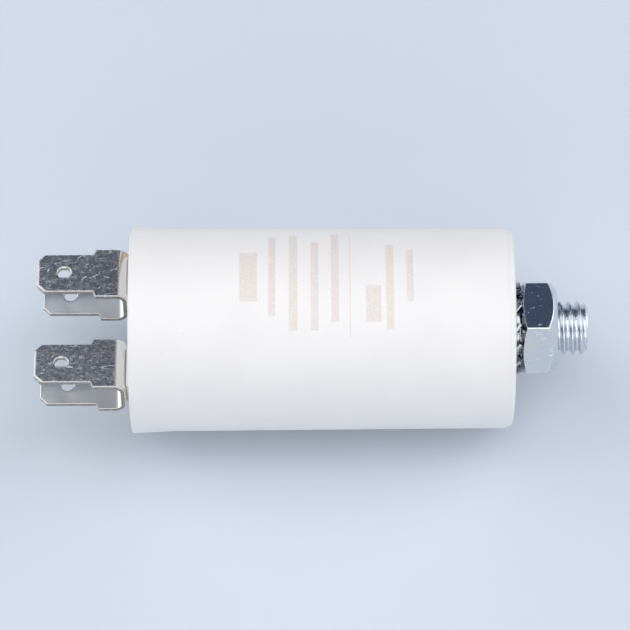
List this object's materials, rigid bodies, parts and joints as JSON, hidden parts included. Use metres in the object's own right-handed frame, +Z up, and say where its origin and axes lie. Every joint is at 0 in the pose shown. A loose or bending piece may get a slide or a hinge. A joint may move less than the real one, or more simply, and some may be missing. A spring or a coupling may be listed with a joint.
{
  "type": "motor run capacitor",
  "caption": "Film capacitor in a white plastic can, with double push-on terminals and a threaded stud with nut and toothed lock washer.",
  "frame": {"origin": "on the surface that the capacitor lies on, under the middle of its overall box", "axes": "+X along the can's axis from the terminals to the stud, +Z up, +Y to the side away from the picture's camera"},
  "size_m": [0.0796, 0.03, 0.03],
  "materials": {
    "white_plastic": "satin",
    "cream_resin": "satin",
    "tinned_tab": "satin",
    "rivet_metal": "satin",
    "tinned_wire": "satin",
    "sleeve_plastic": "matte",
    "metallised_film": "satin",
    "wrap_tape": "gloss",
    "sprayed_zinc": "matte",
    "zinc_plate": "polished"
  },
  "bodies": {
    "root": {"can": "white_plastic", "lid": "white_plastic", "lid_seal": "cream_resin", "terminal_back": "tinned_tab", "terminal_front": "tinned_tab", "rivet_back": "rivet_metal", "rivet_front": "rivet_metal", "inner_lug_back": "rivet_metal", "inner_lug_front": "rivet_metal", "lead_wire_back": "tinned_wire", "lead_wire_front": "tinned_wire", "wire_sleeve_back": "sleeve_plastic", "wire_sleeve_front": "sleeve_plastic", "winding_core": "white_plastic", "film_winding": "metallised_film", "winding_wrap": "wrap_tape", "end_metal_near": "sprayed_zinc", "end_metal_far": "sprayed_zinc", "potting_resin": "cream_resin", "stud": "zinc_plate", "lock_washer": "zinc_plate", "hex_nut": "zinc_plate"}
  },
  "joints": []
}
